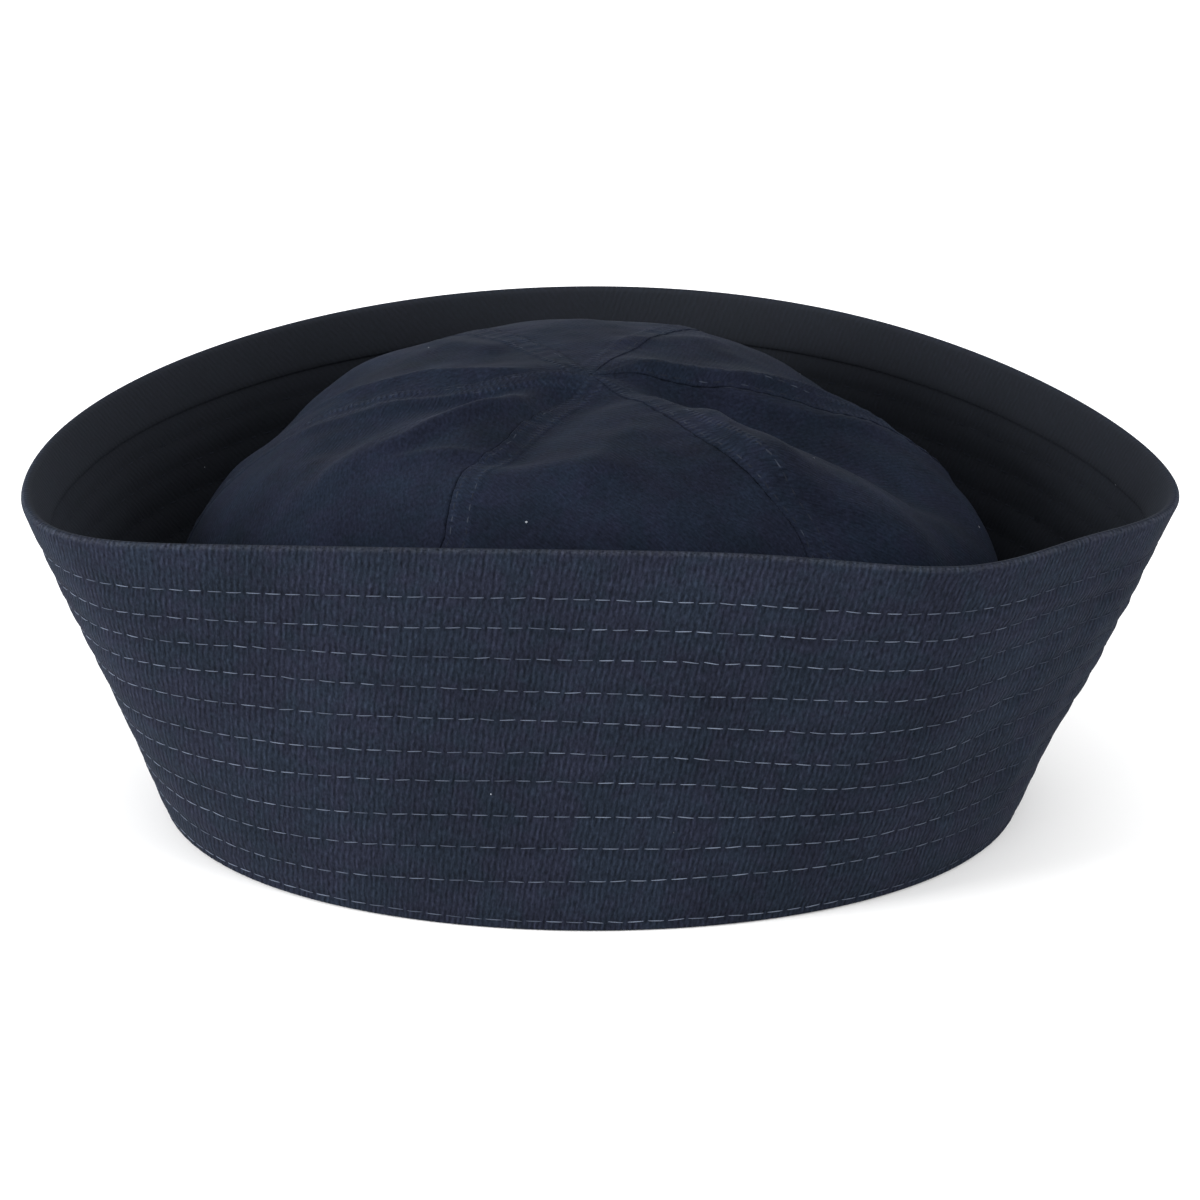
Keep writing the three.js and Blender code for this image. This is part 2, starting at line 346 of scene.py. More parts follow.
def lay_brim(mesh, face_relief=0.0, back_relief=0.0, back_from=0.0):
    share, along, depth = drum_reading(read_points(mesh))
    angle = np.interp(share * strip_length, middle_lengths, middle_angles)
    on_wall = along > wall_starts
    in_front = np.clip(1 - depth / outer_ply, 0, 1)
    behind = np.clip((depth - back_from) / inner_ply, 0, 1)
    relief = channel_relief(share, along) - 1 + pucker_share * pucker_relief(share, along)
    up = np.clip(along, 0, None)
    moved = depth - brim_sway(angle, up, brim_point(angle, up, depth))
    moved += (back_relief * behind - face_relief * in_front) * relief
    wall = brim_point(angle, up, moved)
    foot = inset_point(angle, depth, along + foot_drop)
    write_points(mesh, np.where(on_wall[:, None], wall, foot))
    return share, along, depth

# %% [markdown]
# ## The grain of the strip
# The cloth is a twill with clear ribs. A flared brim is cut along an arc, so the straight grain turns
# slowly against the strip: upright near the right end and leaning about 16 degrees at the left.
# The flat cut is stored as the piece's own UV map, in metres, so a weave can follow it.

# %% Flat cut of the brim as a UV map
grain_turn = 54
grain_upright_at = 330
cut_radius = strip_length / np.radians(grain_turn) - brim_width / 2

def past_join(mesh, share):
    """Counts on past 1 in the faces that close the ring, so the map doesn't run backwards there."""
    sides = np.empty(len(mesh.polygons), int)
    mesh.polygons.foreach_get("loop_total", sides)
    face = np.repeat(np.arange(len(sides)), sides)
    most = np.zeros(len(sides))
    np.maximum.at(most, face, share)
    return np.where((most[face] > 0.75) & (share < 0.25), share + 1, share)

def cut_brim_map(mesh, share, along):
    corners = corner_points(mesh)
    turn = np.radians(grain_turn) * (past_join(mesh, share[corners]) - strip_share(grain_upright_at))
    reach = cut_radius + along[corners]
    write_map(mesh, "flat_cut", reach * np.sin(turn), reach * np.cos(turn))

print("flat cut: an arc", round(cut_radius / MM), "mm in radius at the bottom edge")

# %% Every piece rides on the cap's one body
def new_piece(name, mesh, slot, *replaced):
    piece = bpy.data.objects.new(name, mesh)
    bpy.context.scene.collection.objects.link(piece)
    mesh.shade_smooth()
    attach(piece, "root")
    if replaced:
        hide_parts(*replaced)
    triangles = sum(len(face.vertices) - 2 for face in mesh.polygons)
    print(name, triangles, "triangles")
    return piece

# %% [markdown]
# ## Outer ply of the brim
# One cloth makes the outside, the rolled rim, the hem inside and the foot turned in under the crown.
# It could be two surfaces with a Solidify modifier, but a closed outline that is spun once keeps the
# roll and the hem's cut edge true.

# %% Section of the outer ply
hem_width = 11.6 * MM
hem_back = outer_ply + inner_ply + 2 * clearance
hem_face = hem_back + hem_ply
hem_edge = brim_width - hem_width - 1.4 * MM
edge_rounding = 0.35 * MM
roll_radius = hem_face / 2
roll_centre = brim_width - roll_radius
foot_width = 10 * MM
foot_thickness = 1.8 * MM
bottom_rounding = 0.9 * MM

# Heights that each channel is drawn with, above and below its row
row_offsets = [o * MM for o in (-2.6, -1.6, -0.8, 0, 0.8, 1.6, 2.6, 3.8)]

def channel_spots(lowest, highest, depth):
    heights = sorted(height + offset for height in row_heights for offset in row_offsets)
    return [(depth, height) for height in heights if lowest < height < highest]

def rolled_rim(steps=12):
    turns = np.linspace(0, np.pi, steps + 1)
    return [(roll_radius * (1 - np.cos(t)), roll_centre + roll_radius * np.sin(t)) for t in turns]

def hem_spots(steps=9):
    heights = np.linspace(roll_centre, hem_edge + 0.5 * MM, steps + 1)[1:]
    return [(hem_face, height) for height in heights]

under_foot = [(depth, -foot_drop) for depth in (foot_width, 6 * MM, 2.5 * MM, bottom_rounding)]
bottom_fold = [(0.35 * MM, 0.25 * MM), (0.1 * MM, 0.6 * MM), (0, bottom_rounding)]
outer_section = [
    *under_foot,
    *bottom_fold,
    *channel_spots(1 * MM, roll_centre - 3 * MM, 0),
    (0, roll_centre - 2.5 * MM),
    (0, roll_centre - 1.2 * MM),
    *rolled_rim(),
    *hem_spots(),
    (hem_face - edge_rounding, hem_edge),
    (hem_back, hem_edge),
    (hem_back, roll_centre),
    (outer_ply, roll_centre),
    (outer_ply, brim_width / 2),
    (outer_ply, foot_thickness + 2 * clearance),
    (2 * outer_ply, foot_thickness - foot_drop),
    (foot_width, foot_thickness - foot_drop),
]
print("outer section", len(outer_section), "spots")

# %% [markdown]
# ## Spin and lay the outer ply
# Three values are stored on the points for the cloth's colour later: how deep a point lies in a
# stitched groove, which is painted darker there as shade; how far it is round on the inside, where
# the cloth is mixed towards a grey that is partly its duller colour and partly painted shade; and
# how near it is to the rim's top edge, where a pale line is partly rubbed fibres and partly a painted
# highlight.

# %% Outer ply on the cap
outer_steps = 700
# A pale line is painted along the rim's top edge: partly rubbed fibres, partly a painted highlight.
rim_wear_and_highlight_line = brim_width - 0.15 * MM
rim_wear_and_highlight_spread = 0.35 * MM
inside_from = 0.6

outer_mesh = spun_section(outer_section, outer_steps, "brim_outer")
share, along, depth = lay_brim(outer_mesh, face_relief=0.35 * MM)
cut_brim_map(outer_mesh, share, along)
# Painted shade: this value darkens the cloth in the stitched grooves.
write_values(outer_mesh, "painted_groove_shade", 1 - channel_relief(share, along))
# Inside, the cloth is later mixed towards a flat grey: partly its duller colour, partly painted shade.
write_values(outer_mesh, "inside", smooth_step(depth, inside_from * roll_radius, 2 * roll_radius))
# Where the pale line along the rim's top lies: partly rubbed fibres, partly a painted highlight.
write_values(outer_mesh, "rim_wear_and_highlight", bell(along - rim_wear_and_highlight_line, rim_wear_and_highlight_spread) * (depth < roll_radius))
brim_outer = new_piece("brim_outer", outer_mesh, "brim_cotton", "brim_outer_ply")

# %% [markdown]
# ## Inner ply of the brim
# The inside of the brim is a second cloth, caught by the same rows of stitching and covered by the
# hem at its top. It shows above the crown, in the shade.

# %% Spin and lay the inner ply
inner_front = outer_ply + clearance
inner_back = inner_front + inner_ply
ply_bottom = foot_thickness + 2 * clearance
ply_top = roll_centre - 2 * clearance
inner_steps = 560

inner_section = [
    (inner_front, ply_top),
    (inner_front, brim_width / 2),
    (inner_front, ply_bottom),
    (inner_back, ply_bottom),
    *channel_spots(ply_bottom + 0.3 * MM, ply_top - 2 * MM, inner_back),
    (inner_back, ply_top),
]
inner_mesh = spun_section(inner_section, inner_steps, "brim_inner")
share, along, depth = lay_brim(inner_mesh, back_relief=0.25 * MM, back_from=inner_front)
cut_brim_map(inner_mesh, share, along)
# Painted shade: this value darkens the cloth in the stitched grooves.
write_values(inner_mesh, "painted_groove_shade", 1 - channel_relief(share, along))
# Inside, the cloth is later mixed towards a flat grey: partly its duller colour, partly painted shade.
write_values(inner_mesh, "inside", np.ones_like(along))
write_values(inner_mesh, "rim_wear_and_highlight", np.zeros_like(along))
brim_inner = new_piece("brim_inner", inner_mesh, "brim_cotton", "brim_inner_ply")

# %% [markdown]
# ## Rows of stitching
# Each row is a lockstitch: short threads that lie on the cloth and dive in at both ends. One thread
# is a small stretched ball, spun round the drum as separate copies, so it can be laid on the cap
# like the cloth under it. Every thread gets its own small error, as a guided machine makes.

# %% One thread, and a row of them on the drum
thread_length = 4.1 * MM
thread_width = 0.28 * MM
flattening = 0.75
ball_sides = 6

def thread_ball(width, length, height):
    bm = bmesh.new()
    bmesh.ops.create_uvsphere(bm, u_segments=ball_sides, v_segments=ball_sides, radius=0.5)
    quarter_turn = Matrix.Rotation(np.pi / 2, 3, "X")
    bmesh.ops.rotate(bm, verts=bm.verts, cent=(0, 0, 0), matrix=quarter_turn)
    bmesh.ops.scale(bm, verts=bm.verts, vec=(width, length, height))
    return bm

def copy_along(bm, count, **move):
    everything = bm.verts[:] + bm.edges[:] + bm.faces[:]
    bmesh.ops.spin(
        bm, geom=everything, cent=(0, 0, 0), axis=(0, 0, 1),
        steps=count - 1, use_duplicate=True, **move,
    )
    return mesh_from(bm, "row")

def stitch_row(along, depth, row_length, phase):
    count = round(row_length / stitch_pitch)
    on_drum = 2 * np.pi * drum_radius / row_length
    bm = thread_ball(flattening * thread_width, on_drum * thread_length, thread_width)
    bmesh.ops.translate(bm, verts=bm.verts, vec=(drum_radius - depth, 0, along))
    first_turn = Matrix.Rotation(2 * np.pi * phase / count, 3, "Z")
    bmesh.ops.rotate(bm, verts=bm.verts, cent=(0, 0, 0), matrix=first_turn)
    return copy_along(bm, count, angle=2 * np.pi * (count - 1) / count), count

def thread_piece(name, bm, shades):
    bmesh.ops.recalc_face_normals(bm, faces=bm.faces)
    mesh = mesh_from(bm, name)
    write_values(mesh, "brightness", np.concatenate(shades))
    return new_piece(name, mesh, "sewing_thread")

# %% Stitches of the brim
chance = np.random.default_rng(11)
tilt_error = 0.10 * MM
lift_error = 0.025 * MM
thread_bed = 0.07 * MM
end_sink = 0.26 * MM
sink_from_middle = 0.4

def brim_stitches(name, depth, outwards, shade):
    """All rows of one side. outwards is 1 on the outside and -1 on the inside."""
    bm = bmesh.new()
    shades = []
    for row, height in enumerate(row_heights):
        angles, lengths = strip_table(height)
        phase = (row_shift * row) % 1
        mesh, count = stitch_row(height, depth, lengths[-1], phase)
        share, along, deep = drum_reading(read_points(mesh))
        number = np.floor(share * count - phase + 0.5).astype(int) % count
        from_middle = (share * count - phase + 0.5) % 1 - 0.5
        tilt = chance.normal(0, tilt_error, count)[number] * from_middle * 2
        lift = chance.normal(0, lift_error, count)[number]
        sink = end_sink * (np.abs(from_middle) / sink_from_middle) ** 3
        angle = np.interp(share * lengths[-1], lengths, angles)
        along = along + tilt + row_wander(share, row)
        deep = deep + outwards * (sink + lift - thread_bed)
        placed = brim_point(angle, along, deep)
        write_points(mesh, brim_point(angle, along, deep - brim_sway(angle, along, placed)))
        shades.append(shade(angle) * chance.uniform(0.35, 1.1, count)[number])
        bm.from_mesh(mesh)
        bpy.data.meshes.remove(mesh)
    return thread_piece(name, bm, shades)

def outside_shade(angle):
    """Threads show best right of the middle of the front and least near the right end."""
    bright = 0.7 + 0.3 * bell(turn_from(angle, 288), 16) - 0.3 * bell(turn_from(angle, 256), 8)
    return bright * (1 - 0.97 * bell(turn_from(angle, 345), 27))

def inside_shade(angle):
    return np.full_like(angle, 0.25)

outside_depth = 0.35 * MM
inside_depth = inner_back - 0.25 * MM
stitches_outside = brim_stitches("brim_stitches_outside", outside_depth, 1, outside_shade)
stitches_inside = brim_stitches("brim_stitches_inside", inside_depth, -1, inside_shade)

# %% [markdown]
# ## The crown's dome
# The crown is a soft dome that stands on the brim's foot. Its side view is a superellipse, rounder
# at the ends and squarer at the back. It could be pushed about by hand, but one formula gives it all.

# %% Dome
crown_height = 103.8 * MM
crown_inset = 4.2 * MM
crown_foot = foot_thickness + 0.3 * MM
shoulder_power = dict(mean=2.8, across=-0.7, along=-0.25, twice=-0.95)
side_power = dict(mean=4.65, across=0.8, along=0, twice=-0.2)
farthest_reach = 2.0
halvings = 36

def power_at(power, angle):
    once = power["across"] * np.cos(angle) + power["along"] * np.sin(angle)
    return power["mean"] + once + power["twice"] * np.cos(2 * angle)

def superellipse_reach(tilt, shoulder, side):
    near = np.zeros_like(tilt)
    far = np.full_like(tilt, farthest_reach)
    for _ in range(halvings):
        reach = (near + far) / 2
        inside = (reach * np.sin(tilt)) ** shoulder + (reach * np.cos(tilt).clip(0)) ** side < 1
        near = np.where(inside, reach, near)
        far = np.where(inside, far, reach)
    return (near + far) / 2

def smooth_crown(angle, tilt):
    """A point of the dome without folds. tilt is 0 at the top and a quarter turn at the bottom."""
    reach = superellipse_reach(tilt, power_at(shoulder_power, angle), power_at(side_power, angle))
    middle = np.array([bottom_curve["x"], bottom_curve["y"], 0])
    edge = inset_point(angle, np.full_like(angle, crown_inset), np.zeros_like(angle))
    point = middle + (edge - middle) * (reach * np.sin(tilt))[..., None]
    point[..., 2] = crown_foot + (crown_height - crown_foot) * reach * np.cos(tilt)
    return point

print("crown from", round(crown_foot / MM, 1), "to", round(crown_height / MM, 1), "mm high")

# %% [markdown]
# ## Folds of the crown
# Soft cloth stands in ridges and sinks into hollows. A simulation would make folds of its own, so the
# photograph's are set down as paths seen from above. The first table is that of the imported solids.

# %% Tables of folds
# Name, path seen from above, width and rise, in millimetres from the middle of the crown.
# A negative rise is a hollow.
main_folds = [
    ("right seam ridge", [(12, 6), (84, 22)], 5, 2.5),
    ("right front valley", [(26, -8), (76, -14)], 10, -6),
    ("front right ridge", [(18, -15), (42, -46)], 5, 2.5),
    ("front right shoulder", [(42, -46), (74, -49)], 7, 3.5),
    ("hollow behind right seam", [(62, 35), (70, 30)], 12, -3),
    ("front hollow", [(-2, -14), (-19, -48)], 6.5, -3.5),
    ("front crease", [(-20, -55), (2, -57)], 4, 1.6),
    ("left front crease", [(-19, -20), (-57, -41)], 4, 2.5),
    ("left hollow", [(-28, -11), (-60, -23)], 6, -2.5),
    ("left seam ridge", [(-10, 1), (-76, 5)], 5, 1.5),
    ("left back shoulder", [(-62, 36), (-56, 40)], 8, 1.5),
    ("left end hollow", [(-76, 6), (-66, 22)], 8, -2),
    ("left end bulge", [(-97, -35), (-97, 12)], 11, 3.2),
    ("right end bulge", [(95, -25), (95, 8)], 10, 2.2),
]
fine_folds = [
    ("crest of the right seam", [(7, 4), (15, 7), (35, 10), (50, 16), (61, 19), (84, 24)], 1.7, 1.1),
    ("second ridge at the right", [(28, 3), (35, 4), (47, 4), (56, 6), (65, 10), (78, 16)], 1.8, 1.4),
    ("edge of the right valley", [(19, 0), (26, -16), (33, -43), (41, -52), (55, -54), (72, -52)], 2.0, 1.3),
    ("low ridge in the front", [(5, -36), (13, -38), (23, -49), (30, -53)], 3.0, 0.5),
    ("edge over the rim", [(-20, -55), (-2, -58), (3, -51), (5, -38)], 2.2, 0.45),
    ("sharp left crease", [(-16, -20), (-33, -31), (-42, -38), (-54, -43)], 1.6, 1.6),
    ("valley over the left crease", [(-22, -15), (-38, -24), (-54, -33)], 2.4, -1.5),
    ("cross crease", [(-20, -46), (-29, -46), (-42, -45), (-53, -45)], 1.6, 1.0),
    ("left seam's crest", [(-10, -1), (-22, -1), (-39, 4), (-50, 3), (-67, 10), (-80, 13)], 1.6, 1.2),
    ("line under the left seam", [(-6, -4), (-22, -7), (-37, -10), (-56, -10), (-66, -8), (-80, -4)], 1.5, 1.0),
    ("valley by the front left seam", [(-1, -3), (-7, -10), (-13, -20), (-16, -30)], 2.2, -1.5),
    ("floor of the right valley", [(24, -2), (42, -6), (59, -6), (72, -10)], 3.0, -1.0),
    ("left end crease", [(-60, -44), (-72, -40)], 3.0, 0.6),
    ("back crest", [(2, 22), (20, 30), (34, 40)], 3.0, 0.9),
    ("back left crest", [(-20, 18), (-34, 30), (-40, 42)], 3.0, 0.8),
]
fine_taper = 0.2

def fold_height(point, folds, taper):
    """Rise of the cloth over a table of folds, each fading over a share of its length at both ends."""
    height = np.zeros(point.shape[:-1])
    x = (point[..., 0] - bottom_curve["x"]) / MM
    y = (point[..., 1] - bottom_curve["y"]) / MM
    for _, path, width, rise in folds:
        distance = np.full(x.shape, np.inf)
        reached = np.zeros(x.shape)
        for number, ((from_x, from_y), (to_x, to_y)) in enumerate(zip(path, path[1:])):
            run_x, run_y = to_x - from_x, to_y - from_y
            run = ((x - from_x) * run_x + (y - from_y) * run_y) / (run_x**2 + run_y**2)
            share = np.clip(run, 0, 1)
            away = np.hypot(x - from_x - share * run_x, y - from_y - share * run_y)
            reached = np.where(away < distance, (number + share) / (len(path) - 1), reached)
            distance = np.minimum(distance, away)
        if taper:
            ends = smooth_step(reached, 0, taper) * smooth_step(1 - reached, 0, taper)
        else:
            ends = 1
        height += rise * bell(distance, width) * ends
    return height * MM

print(len(main_folds), "main folds and", len(fine_folds), "fine ones")

# %% [markdown]
# ## Six gores and their lapped seams
# Each gore is cut as a long triangle and sewn to the next with a flat-felled seam: its edge is
# doubled, laid over its neighbour and stitched down twice. A gore starts as a flat grid and is bent
# over the dome, and the same step bends its threads.

# %% Places of the seams
# Each gore starts at its seam. bottom is the seam's angle at the bottom edge, and stray how far it
# strays from that further up, at tilts of 10, 25, 35 and 45 degrees from the top
gores = [
    dict(name="right_back", bottom=20, stray=(-3.5, -4, -4.5, 0)),
    dict(name="back", bottom=68, stray=(-4, -2, -1, 0)),
    dict(name="left_back", bottom=120, stray=(-6, -3, -4, 0)),
    dict(name="left_front", bottom=174, stray=(12, 6, 1, 0)),
    dict(name="front", bottom=243, stray=(-3, 2, 1, 4.5)),
    dict(name="right_front", bottom=303, stray=(-3, -4.5, -2.5, 0.5)),
]
stray_tilts = np.radians((0, 10, 25, 35, 45, 90))
lap_width = 6 * MM
most_lap_share = 0.35
gore_table_steps = 400

def seam_angle(number, tilt):
    gore = gores[number % len(gores)]
    stray = np.interp(tilt, stray_tilts, (0, *gore["stray"], 0))
    return np.radians(gore["bottom"] + stray) + 2 * np.pi * (number // len(gores))

def gore_tables(number):
    """The gore's width and its distance down from the top, for each tilt."""
    tilt = np.linspace(0, np.pi / 2, gore_table_steps + 1)
    start, end = seam_angle(number, tilt), seam_angle(number + 1, tilt)
    left, middle, right = (smooth_crown(angle, tilt) for angle in (start, (start + end) / 2, end))
    down = np.concatenate([[0], np.cumsum(np.linalg.norm(np.diff(middle, axis=0), axis=1))])
    width = np.linalg.norm(middle - left, axis=1) + np.linalg.norm(right - middle, axis=1)
    return dict(number=number, tilt=tilt, start=start, end=end, down=down, width=width, length=down[-1])

def lap_squeeze(table, down):
    width = np.interp(down, table["down"], table["width"])
    return np.minimum(1, most_lap_share * width / lap_width), width

for number, gore in enumerate(gores):
    print(gore["name"], "is", round(gore_tables(number)["length"] / MM), "mm long")

# %% Bend flat cloth over the dome
lap_rise = 0.2 * MM
lap_edge = dict(inside=0.5 * MM, outside=0.6 * MM)
folds_from = 0.2
folds_full = 0.6
pucker_pitch = 5.1 * MM
pucker_drift = 23 * MM
pucker_reach = 3.5 * MM
pucker_height = 0.13 * MM
crown_crumples = [
    dict(height=0.22 * MM, wavelength=22 * MM, seed=5),
    dict(height=0.08 * MM, wavelength=8 * MM, seed=6),
]

def seam_puckers(table, across, down, width):
    drift = 1.5 * np.sin(2 * np.pi * down / pucker_drift)
    wave = np.sin(2 * np.pi * down / pucker_pitch + 1.7 * table["number"] + drift)
    own_seam = bell(across - 0.3 * lap_width, pucker_reach)
    next_seam = 0.7 * bell(width - across, pucker_reach)
    return pucker_height * wave * (own_seam + next_seam)

def outward_of_crown(angle, tilt):
    around = smooth_crown(angle + small_turn, tilt) - smooth_crown(angle - small_turn, tilt)
    lower = np.minimum(tilt + small_turn, np.pi / 2)
    step = smooth_crown(angle, lower) - smooth_crown(angle, lower - 2 * small_turn)
    return unit(np.cross(step, around))

def bend_over_crown(table, across, down, height):
    """across and down are distances on the flat gore, from its seam and from the top."""
    tilt = np.interp(down, table["down"], table["tilt"])
    start, end = (np.interp(tilt, table["tilt"], table[side]) for side in ("start", "end"))
    squeeze, width = lap_squeeze(table, down)
    angle = start + (end - start) * np.clip(across / width, 0, 1)
    point = smooth_crown(angle, tilt)
    lap = squeeze * lap_width
    on_lap = 1 - smooth_step(across, lap - lap_edge["inside"], lap + lap_edge["outside"])
    growing = smooth_step(down, 4 * MM, 25 * MM)
    free = smooth_step(point[..., 2], folds_from * crown_height, folds_full * crown_height)
    rise = free * (fold_height(point, main_folds, 0) + fold_height(point, fine_folds, fine_taper))
    rise += lap_rise * on_lap * smooth_step(down, 0, 6 * MM)
    rise += growing * seam_puckers(table, across, down, width)
    for fold in crown_crumples:
        rise += growing * fold["height"] * crumple(point, fold["wavelength"], fold["seed"])
    return point + outward_of_crown(angle, tilt) * (rise + height)[..., None]

# %% [markdown]
# ## Gores from flat grids
# The first columns are close together, so that the lap's edge is crisp. The flat places are kept as
# two UV maps, for the weave and the seam. Solidify then gives the bent sheet its thickness.

# %% Columns and rows of a gore
crown_ply = 0.9 * MM
top_gap = 0.12 * MM
seam_gap = 0.04 * MM
grain_turn_of_gores = -40
gore_columns = 84
gore_rows = 150
lap_columns = np.array([0, 0.3, 0.9, 1.6, 2.5, 3.4, 4.2, 5.0, 5.6, 5.85, 6.1, 6.4, 7.0, 7.8]) * MM

def flat_gore(table, spots):
    column = np.rint((spots[:, 0] + 0.5) * gore_columns).astype(int)
    down = top_gap + (table["length"] - top_gap) * (spots[:, 1] + 0.5)
    squeeze, width = lap_squeeze(table, down)
    on_lap = squeeze * lap_columns[np.clip(column, 0, len(lap_columns) - 1)]
    rest = (column - len(lap_columns) + 1) / (gore_columns - len(lap_columns) + 1)
    lap_end = squeeze * lap_columns[-1]
    beyond = lap_end + np.clip(rest, 0, 1) * (width - seam_gap - lap_end)
    return np.where(column < len(lap_columns), on_lap, beyond), down, width

# %% Bend and thicken the gores
def thicken(mesh, thickness):
    bm = bmesh.new()
    bm.from_mesh(mesh)
    bmesh.ops.recalc_face_normals(bm, faces=bm.faces)
    bm.normal_update()
    top = max(bm.faces, key=lambda face: face.calc_center_median().z)
    if top.normal.z < 0:
        bmesh.ops.reverse_faces(bm, faces=bm.faces)
    bmesh.ops.solidify(bm, geom=bm.faces[:], thickness=thickness)
    bmesh.ops.recalc_face_normals(bm, faces=bm.faces)
    bm.to_mesh(mesh)
    bm.free()

def gore_mesh(number, name):
    table = gore_tables(number)
    bm = bmesh.new()
    bmesh.ops.create_grid(bm, x_segments=gore_columns, y_segments=gore_rows, size=0.5)
    mesh = mesh_from(bm, name)
    across, down, width = flat_gore(table, read_points(mesh))
    write_points(mesh, bend_over_crown(table, across, down, np.zeros_like(down)))
    corners = corner_points(mesh)
    turn = np.radians(grain_turn_of_gores)
    middle = across - width / 2
    across_grain = middle * np.cos(turn) + down * np.sin(turn)
    along_grain = down * np.cos(turn) - middle * np.sin(turn)
    write_map(mesh, "flat_cut", (across_grain + number)[corners], along_grain[corners])
    write_map(mesh, "seam", across[corners], down[corners])
    thicken(mesh, crown_ply)
    return mesh

gore_pieces = []
for number, gore in enumerate(gores):
    mesh = gore_mesh(number, gore["name"])
    gore_pieces.append(new_piece("crown_" + gore["name"], mesh, "crown_cotton", "crown_gore_" + gore["name"]))

# %% [markdown]
# ## Threads of the lapped seams
# Two rows hold each lap down. They are spun in a straight line and bent over the dome like the gore.

# %% Two rows on every seam
crown_stitch_pitch = 3.3 * MM
crown_thread = dict(width=0.4 * MM, length=2.7 * MM, height=0.3 * MM)
crown_thread_bed = 0.09 * MM
lap_rows = (1.1 * MM, 4.9 * MM)
lap_rows_reach = 0.95

def seam_stitches():
    bm = bmesh.new()
    shades = []
    for number in range(len(gores)):
        table = gore_tables(number)
        first = 4 * MM + 0.4 * number * MM
        count = int((lap_rows_reach * table["length"] - first) / crown_stitch_pitch)
        for offset in lap_rows:
            ball = thread_ball(**crown_thread)
            mesh = copy_along(ball, count, angle=0, dvec=(0, crown_stitch_pitch, 0))
            flat = read_points(mesh)
            down = first + flat[:, 1]
            across = lap_squeeze(table, down)[0] * (offset + flat[:, 0])
            write_points(mesh, bend_over_crown(table, across, down, flat[:, 2] - crown_thread_bed))
            thread = np.clip(np.rint(flat[:, 1] / crown_stitch_pitch), 0, count - 1).astype(int)
            shades.append((chance.random(count) ** 4)[thread])
            bm.from_mesh(mesh)
            bpy.data.meshes.remove(mesh)
    return thread_piece("crown_stitches", bm, shades)

stitches_crown = seam_stitches()

# %% [markdown]
# ## Colours and nodes
# Colours are written as they look on a screen and turned to the linear values that the renderer
# wants. One helper adds any node, sets it up and links it, so a material reads from top to bottom.

# %% Helpers for materials
def linear(code):
    channels = [int(code[i : i + 2], 16) / 255 for i in (0, 2, 4)]
    return [c / 12.92 if c <= 0.04045 else ((c + 0.055) / 1.055) ** 2.4 for c in channels] + [1.0]

def add_node(tree, kind, sockets=None, output=0, **settings):
    """Adds a node with its settings and links, and gives back one of its output sockets."""
    node = tree.nodes.new("ShaderNode" + kind)
    for name, value in settings.items():
        setattr(node, name, value)
    for name, value in (sockets or {}).items():
        if isinstance(value, bpy.types.NodeSocket):
            tree.links.new(value, node.inputs[name])
        else:
            node.inputs[name].default_value = value
    return node.outputs[output] if node.outputs else node

def new_material(name):
    material = bpy.data.materials.new(name)
    material.use_nodes = True
    tree = material.node_tree
    tree.nodes.clear()
    return material, tree

# %% [markdown]
# ## Ribs of the twill
# Twill has slanting ribs, which are about 1.4 mm apart in the photograph. A picture would blur close
# up, so a wave on the flat cut draws them, broken into short runs as fuzz breaks them for the eye.

# %% Ribs
rib_middle = 0.45
run_stretch = (0.9, 0.4)

def wave_scale(pitch):
    """Scale at which Blender's wave texture repeats after a pitch in metres."""
    return np.pi / 10 / pitch

def along_weave(stretch, pitch):
    return (stretch[0] / pitch, stretch[1] / pitch, 1)

def twill_ribs(tree, cut, pitch):
    wave = add_node(tree, "TexWave", {
        "Vector": cut, "Scale": wave_scale(pitch), "Distortion": 2.6, "Detail": 2.0, "Detail Scale": 1.3,
    }, "Fac", bands_direction="X")
    runs = add_node(tree, "Mapping", {"Vector": cut, "Scale": along_weave(run_stretch, pitch)})
    noise = add_node(tree, "TexNoise", {"Vector": runs, "Scale": 1.0, "Detail": 2.0, "Roughness": 0.7})
    unbroken = add_node(tree, "MapRange", {"Value": noise, "From Min": 0.36, "From Max": 0.62})
    above = add_node(tree, "Math", {0: wave, 1: rib_middle}, operation="SUBTRACT")
    return add_node(tree, "Math", {0: above, 1: unbroken, 2: rib_middle}, operation="MULTIPLY_ADD")

# %% [markdown]
# ## Dye, gathers and lint
# Washed navy fades in patches of a few centimetres and leans now to green and now to purple. Beside a
# lapped seam's rows the cloth is gathered into tiny pleats, whose crests are painted lighter and whose
# hollows darker as highlight and shade, and a few specks of lint cling to it.

# %% Unevenly washed dye
fade_patch = 26.316 * MM
hue_patch = 11.111 * MM

def washed_dye(tree, place, dyed, faded):
    colours = []
    for patch, detail, low, high, first, second in (
        (fade_patch, 7.0, 0.32, 0.68, dyed, faded),
        (hue_patch, 5.0, 0.42, 0.58, "f1fcff", "fdf5ff"),
    ):
        noise = add_node(tree, "TexNoise", {
            "Vector": place, "Scale": 1 / patch, "Detail": detail, "Roughness": 0.7,
        })
        share = add_node(tree, "MapRange", {"Value": noise, "From Min": low, "From Max": high})
        ends = {"Factor": share, 6: linear(first), 7: linear(second)}
        colours.append(add_node(tree, "Mix", ends, 2, data_type="RGBA"))
    return add_node(tree, "VectorMath", {0: colours[0], 1: colours[1]}, operation="MULTIPLY")

# %% Cloth gathered by a lapped seam
gather_pitch = 1.5 * MM
gathered_rows = (1.3 * MM, 5.0 * MM)
gather_patch = 16.667 * MM
